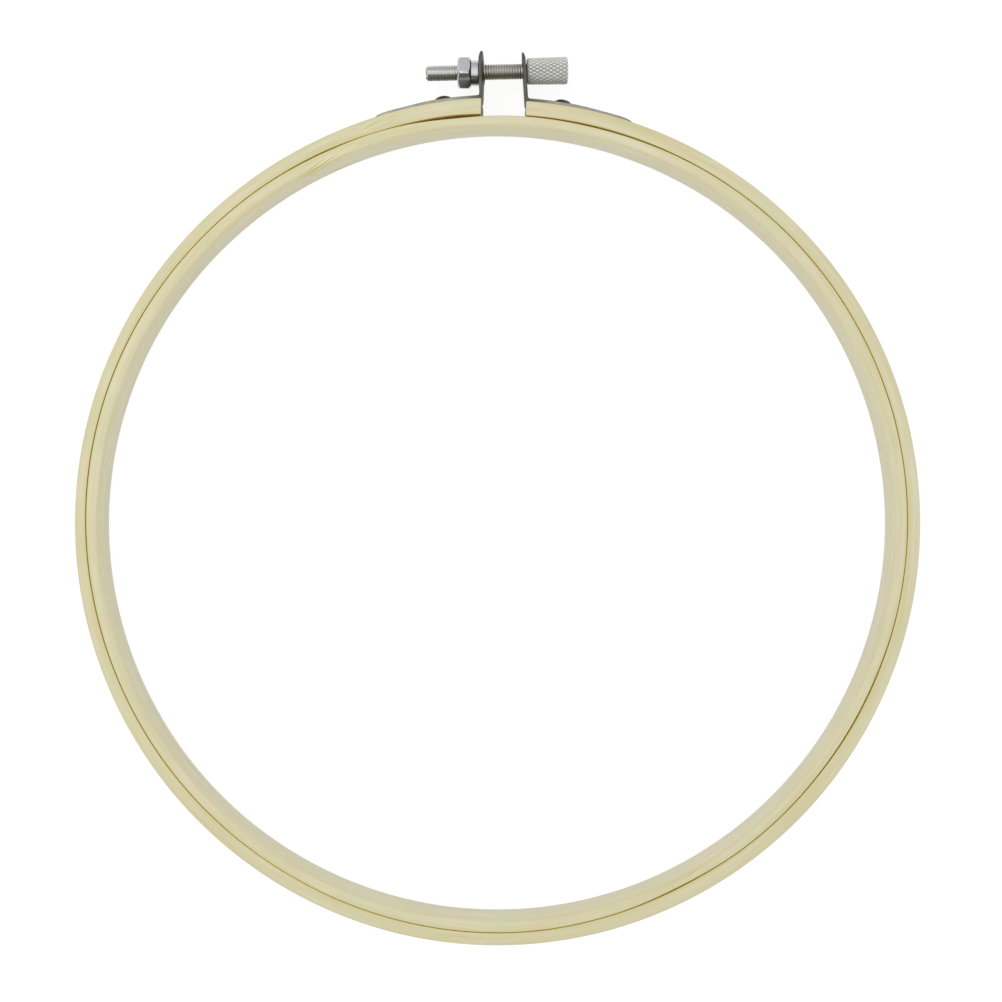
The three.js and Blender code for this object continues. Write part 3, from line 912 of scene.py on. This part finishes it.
def bamboo(name, light, yellow, dark, joints):
    """Bamboo bent into a hoop: fibres along the strip, slow changes of tone, and its lapped joints.
    A joint is (degrees round the hoop, radius of its middle, slope of its strokes, reach, strength).
    Sizes are in mm."""
    ring = 104.7  # radius on which the pattern is laid out
    front = 10.0  # height of the front face
    joint_slant = 0.3  # shift of a joint's strokes for each mm down the wall
    material = bpy.data.materials.new(name)
    n = Nodes(material)
    place = n.attribute("place", "Vector")
    x, y, z = n.node("ShaderNodeSeparateXYZ", {0: place}).outputs
    radius = n.math("SQRT", n.math("ADD", n.times(x, x), n.times(y, y)))
    around_x = n.times(n.math("DIVIDE", x, radius), ring)
    around_y = n.times(n.math("DIVIDE", y, radius), ring)

    def streaks(along, across, detail=2.0):
        """Noise with so many waves for each mm along the strip and across it."""
        vector = n.vector(n.times(around_x, along), n.times(around_y, along), n.times(z, across))
        return n.noise(vector, n.times(radius, across), detail, 0.55)

    fibres = streaks(0.09, 3.6)
    bands = streaks(0.035, 0.9)
    long_bands = streaks(0.02, 0.32, 1.0)
    patch_vector = n.vector(around_x, around_y, n.times(z, 1.5))
    patches = n.noise(patch_vector, detail=1.5, scale=0.055)
    green_patches = n.noise(patch_vector, detail=1.0, scale=0.11)
    pink_patches = n.noise(patch_vector, w=40.0, detail=1.0, scale=0.14)

    colour = n.mix(n.spread(bands, 0.36, 0.66), yellow, light)
    colour = n.mix(n.spread(patches, 0.42, 0.64, 0.0, 0.5), colour, yellow)
    colour = n.mix(n.spread(green_patches, 0.48, 0.66, 0.0, 0.4), colour, srgb(208, 212, 170))
    colour = n.mix(n.spread(pink_patches, 0.50, 0.68, 0.0, 0.4), colour, srgb(222, 204, 172))
    colour = n.mix(n.spread(fibres, 0.50, 0.74, 0.0, 0.24), colour, dark)
    colour = n.mix(n.spread(long_bands, 0.52, 0.70, 0.0, 0.16), colour, dark)
    # Painted sheen of the white floor: the walls turn paler and greyer towards the back.
    colour = n.mix(n.spread(z, 0.5, 9.5, 0.5, 0.0), colour, srgb(216, 212, 198))
    lift = fibres

    for degrees, middle, slope, reach, strength in joints:
        turn = math.radians(degrees + photo_turn)
        facing = n.math("ADD", n.times(x, math.cos(turn)), n.times(y, math.sin(turn)))
        sideways = n.math("SUBTRACT", n.times(y, math.cos(turn)), n.times(x, math.sin(turn)))
        along = n.times(n.math("ARCTAN2", sideways, facing), ring)
        deep = n.math("ADD", radius, n.times(n.math("SUBTRACT", z, front), joint_slant))
        off = n.math("SUBTRACT", n.math("SUBTRACT", deep, middle), n.times(along, slope))
        near = n.times(
            n.spread(n.math("ABSOLUTE", along), reach * 0.4, reach, 1.0, 0.0),
            n.spread(n.math("ABSOLUTE", off), 0.7, 1.5, 1.0, 0.25),
        )
        strokes = n.noise(n.vector(n.times(along, 0.14), n.times(off, 2.6), degrees), detail=1.0)
        gold = n.times(n.spread(strokes, 0.51, 0.60, 0.0, strength), near)
        colour = n.mix(n.times(gold, 0.8), colour, srgb(205, 187, 104))
        pale = n.times(n.spread(strokes, 0.47, 0.38, 0.0, strength), near)
        colour = n.mix(n.times(pale, 0.55), colour, srgb(234, 225, 200))
        lift = n.math("SUBTRACT", lift, n.times(gold, 0.6))

    # The wood is stained warm beside the seam. Inside the seam it turns yellower and, near the clamp,
    # browner: partly stain, partly painted shade of the deep seam.
    from_seam = n.attribute("from_seam")
    colour = n.mix(n.spread(from_seam, 0.1, 0.75, 0.3, 0.0), colour, srgb(214, 198, 124))
    seam_stain_and_shade = n.times(n.spread(from_seam, 0.0, 0.12, 1.0, 0.0), n.spread(z, 5.0, 8.0, 0.1, 0.85))
    # Near the clamp the seam's colour turns browner, as painted shade of the deep seam there.
    stain = n.mix(n.spread(y, 99.0, 104.5), srgb(222, 210, 122), srgb(206, 162, 84))
    colour = n.mix(seam_stain_and_shade, colour, stain)
    n.set(Base_Color=colour, Roughness=n.spread(fibres, 0.3, 0.75, 0.42, 0.58), Specular_IOR_Level=0.35)
    n.bump(lift, distance=0.05 * mm, strength=0.5)
    return material


def bamboo_end():
    """The cut ends of the outer ring: fibre bundles seen as dots, blotches of stain, and painted shade that
    darkens the nut-side end.
    """
    material = bpy.data.materials.new("bamboo_end_grain")
    n = Nodes(material)
    place = n.attribute("place", "Vector")
    x = n.node("ShaderNodeSeparateXYZ", {0: place}).outputs[0]
    bundles = {"Vector": place, "Scale": 1.7, "Randomness": 0.9}
    dots = n.node("ShaderNodeTexVoronoi", bundles).outputs["Distance"]
    stain = n.noise(place, detail=3.0, roughness=0.6, scale=0.8)
    # The nut-side end is painted darker than the knob-side one, as painted shade.
    knob_side = n.spread(x, -1, 1)
    shaded_end_colour = n.mix(knob_side, srgb(146, 140, 110), srgb(202, 197, 166))
    dark = n.mix(knob_side, srgb(98, 90, 64), srgb(170, 158, 118))
    colour = n.mix(n.spread(dots, 0.12, 0.30, 0.8, 0.0), shaded_end_colour, dark)
    colour = n.mix(n.spread(stain, 0.35, 0.7, 0.0, 0.4), colour, dark)
    n.set(Base_Color=colour, Roughness=0.75)
    n.bump(dots, distance=0.05 * mm, strength=0.5)
    return material


def plated(name, colour, stain, roughness, scratched=None, grime_and_shade=None, grime_and_shade_share=0, metallic=1.0):
    """Plated steel with a faint haze, fine scratches along one direction, and dirt with painted shade and
    painted reflection where its points are marked.
    """
    material = bpy.data.materials.new(name)
    n = Nodes(material)
    place = n.node("ShaderNodeTexCoord").outputs["Object"]
    scaled = n.node("ShaderNodeVectorMath", {0: place, "Scale": 1 / mm}, operation="SCALE").outputs[0]
    haze = n.noise(scaled, detail=4.0, roughness=0.6, scale=0.45)
    specks = n.noise(scaled, scale=5.0)
    tint = n.mix(n.spread(haze, 0.36, 0.70, 0.0, 0.6), colour, stain)
    tint = n.mix(n.spread(specks, 0.60, 0.78, 0.0, 0.4), tint, stain)
    rough = n.spread(haze, 0.3, 0.7, roughness * 0.8, roughness * 1.3)
    height = n.times(specks, 0.4)
    if scratched:
        stretched = n.node("ShaderNodeVectorMath", {0: scaled, 1: scratched}, operation="MULTIPLY")
        scratches = n.noise(stretched.outputs[0], detail=3.0, roughness=0.7)
        height = n.math("ADD", height, scratches)
        rough = n.math("ADD", rough, n.spread(scratches, 0.3, 0.7, -0.05, 0.08))
    # Dirt, painted shade and painted reflection, where a point's depth mark is high.
    if grime_and_shade:
        share = n.spread(n.attribute("depth"), clean_depth, 1.0, 0.0, grime_and_shade_share)
        tint = n.mix(share, tint, grime_and_shade)
        rough = n.math("ADD", rough, n.times(share, 0.3))
    n.set(Base_Color=tint, Roughness=rough, Metallic=metallic)
    n.bump(height, distance=0.01 * mm, strength=0.35)
    return material


inner_bamboo = bamboo(
    "inner_bamboo", srgb(222, 217, 187), srgb(213, 206, 163), srgb(195, 182, 132),
    ((115.5, 101.9, -0.16, 9.0, 1.0), (-61.5, 102.8, -0.2, 4.0, 0.6)),
)
outer_bamboo = bamboo(
    "outer_bamboo", srgb(221, 215, 184), srgb(212, 204, 160), srgb(193, 179, 128),
    ((107.0, 106.2, -0.2, 7.0, 0.8),),
)
end_bamboo = bamboo_end()
bracket_look = plated(
    "bracket_steel", srgb(158, 158, 149), srgb(136, 136, 126), roughness=0.38, scratched=(0.4, 0.4, 6.0),
    grime_and_shade=srgb(108, 108, 99), grime_and_shade_share=0.95,
)
rivet_look = plated("rivet_steel", srgb(84, 83, 74), srgb(52, 51, 43), roughness=0.34)
screw_look = plated(
    "screw_steel", srgb(197, 197, 195), srgb(176, 176, 171), roughness=0.27,
    grime_and_shade=srgb(128, 125, 106), grime_and_shade_share=0.9,
)
knob_look = plated(
    "knob_steel", srgb(220, 221, 216), srgb(208, 208, 203), roughness=0.32,
    grime_and_shade=srgb(116, 115, 106), grime_and_shade_share=0.7, metallic=0.3,
)
nut_look = plated(
    "nut_steel", srgb(208, 210, 212), srgb(186, 188, 188), roughness=0.17,
    grime_and_shade=srgb(66, 66, 60), grime_and_shade_share=0.9,
)


# The pieces

outer_ring = make_outer_ring(outer_bamboo, end_bamboo)
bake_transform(outer_ring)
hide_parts("outer_ring_knob_half", "outer_ring_nut_half")

knob_bracket = make_bracket(
    "bracket_strip_knob_side", bracket_look, side=1, lean=knob_ear_lean,
    over_screw=knob_ear_over_screw, hole_radius=thread_radius + ear_hole_fit,
)
nut_bracket = make_bracket(
    "bracket_strip_nut_side", bracket_look, side=-1, lean=nut_ear_lean, twist=nut_ear_twist,
    over_screw=nut_ear_over_screw, hole_radius=neck_radius + neck_fit, hole_drop=nut_drop + neck_drop,
)
riders = (
    (make_inner_ring(inner_bamboo), "inner_ring", "inner_ring", "inner_bamboo"),
    (knob_bracket, "knob_side", "bracket_knob_side", "bracket_steel"),
    (nut_bracket, "nut_side", "bracket_nut_side", "bracket_steel"),
    (make_rivet("rivet_domed_knob_side", 1, rivet_look), "knob_side", "rivet_knob_side", "rivet_steel"),
    (make_rivet("rivet_domed_nut_side", -1, rivet_look), "nut_side", "rivet_nut_side", "rivet_steel"),
    (make_screw(screw_look), "screw", "clamp_screw", "screw_steel"),
    (make_stud(screw_look), "screw", None, "screw_steel"),
    (make_knob(knob_look), "screw", "clamp_knob", "knob_steel"),
    (make_nut(nut_look), "nut_side", "clamp_nut", "nut_steel"),
)
for piece, body, node, slot in riders:
    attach(piece, body)
    if node:
        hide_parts(node)


# Floor, light and camera

floor_reach = 2.0
floor_drop = 0.05 * mm  # keeps it clear of the hoop's back
# Brightness, from 0 for black to 1 for white
floor_paint = 0.9  # of the floor that lights the hoop
floor_glow = 0.9  # of the floor that the camera and the metal see
floor_shade = 0.15  # how strongly that floor takes light and shadow
ambient = 0.88  # of the light that falls on the hoop from all round
# How bright metal sees the room, as (degrees from overhead towards the clamp, brightness)
room_brightness = (
    (-100, 0.3),
    (-82, 0.14),
    (-50, 0.13),
    (-24, 1.1),
    (10, 1.1),
    (38, 0.78),
    (90, 0.6),
    (150, 0.6),
)
room_sides = 0.2  # of that brightness, at the far left and right
room_sides_start = 0.7  # sine of the turn to a side at which it starts to fade
camera_place = (0.78 * mm, -1.41 * mm, 322 * mm)
camera_sensor = 36
camera_lens = 44.02


def make_floor():
    """A plain pale floor, seen almost white by the camera and by metal."""
    r = floor_reach
    mesh = mesh_of("floor", [(-r, -r, 0), (r, -r, 0), (r, r, 0), (-r, r, 0)], [(0, 1, 2, 3)])
    floor = add_object("floor", mesh)
    floor.location.z = -floor_drop
    material = bpy.data.materials.new("floor")
    n = Nodes(material)
    n.tree.nodes.clear()
    paints = [{"Color": (grey, grey, grey, 1)} for grey in (floor_paint, floor_shade)]
    plain, faint = [n.node("ShaderNodeBsdfDiffuse", paint) for paint in paints]
    glow = n.node("ShaderNodeEmission", {"Color": (1, 1, 1, 1), "Strength": floor_glow})
    white = n.node("ShaderNodeAddShader", {0: faint.outputs[0], 1: glow.outputs[0]})
    seen = n.any_ray("Is Camera Ray", "Is Glossy Ray", "Is Transmission Ray")
    both = n.node("ShaderNodeMixShader", {0: seen, 1: plain.outputs[0], 2: white.outputs[0]})
    n.node("ShaderNodeOutputMaterial", {"Surface": both.outputs[0]})
    mesh.materials.append(material)


def light_world():
    """A white room. Polished metal sees it brightest overhead, fairly bright towards the clamp
    and dim the other way."""
    world = bpy.data.worlds.new("world")
    bpy.context.scene.world = world
    n = Nodes(world)
    direction = n.node("ShaderNodeTexCoord").outputs["Generated"]
    x, y, z = n.node("ShaderNodeSeparateXYZ", {0: direction}).outputs
    share = n.spread(n.math("ARCTAN2", y, z), -math.pi, math.pi)
    ramp = n.node("ShaderNodeValToRGB", {0: share})
    stops = ramp.color_ramp.elements
    ramp.color_ramp.interpolation = "EASE"
    for stop in list(stops)[1:]:
        stops.remove(stop)
    for index, (degrees, grey) in enumerate(room_brightness):
        place = 0.5 + degrees / 360
        stop = stops[0] if index == 0 else stops.new(place)
        stop.position = place
        stop.color = (grey, grey, grey, 1)
    dimming = n.spread(n.math("ABSOLUTE", x), room_sides_start, 1.0, 1.0, room_sides)
    room = n.times(ramp.outputs[0], dimming)
    light = n.mix(n.any_ray("Is Glossy Ray"), ambient, room, "FLOAT")
    final = n.mix(n.any_ray("Is Camera Ray", "Is Transmission Ray"), light, 1.0, "FLOAT")
    back = n.tree.nodes["Background"]
    n.put(back.inputs["Strength"], final)
    n.put(back.inputs["Color"], (1, 1, 1, 1))


def add_lamp(name, place, size, power):
    """A square lamp that points at the middle of the object's back."""
    lamp = bpy.data.lights.new(name, "AREA")
    lamp.shape = "SQUARE"
    lamp.size = size
    lamp.energy = power
    holder = add_object(name, lamp)
    holder.location = place
    holder.rotation_euler = (-Vector(place)).to_track_quat("-Z", "Y").to_euler()


def add_camera():
    camera = bpy.data.cameras.new("camera")
    camera.sensor_width = camera_sensor
    camera.lens = camera_lens
    camera.clip_start = 0.01
    camera.clip_end = 20
    holder = add_object("camera", camera)
    holder.location = camera_place
    holder.rotation_euler = (0, 0, math.radians(photo_turn))
    bpy.context.scene.camera = holder


make_floor()
light_world()
add_lamp("soft_light", place=(-0.24, 0.17, 0.5), size=0.4, power=0.46)
add_camera()
bpy.context.scene.view_settings.view_transform = "Standard"
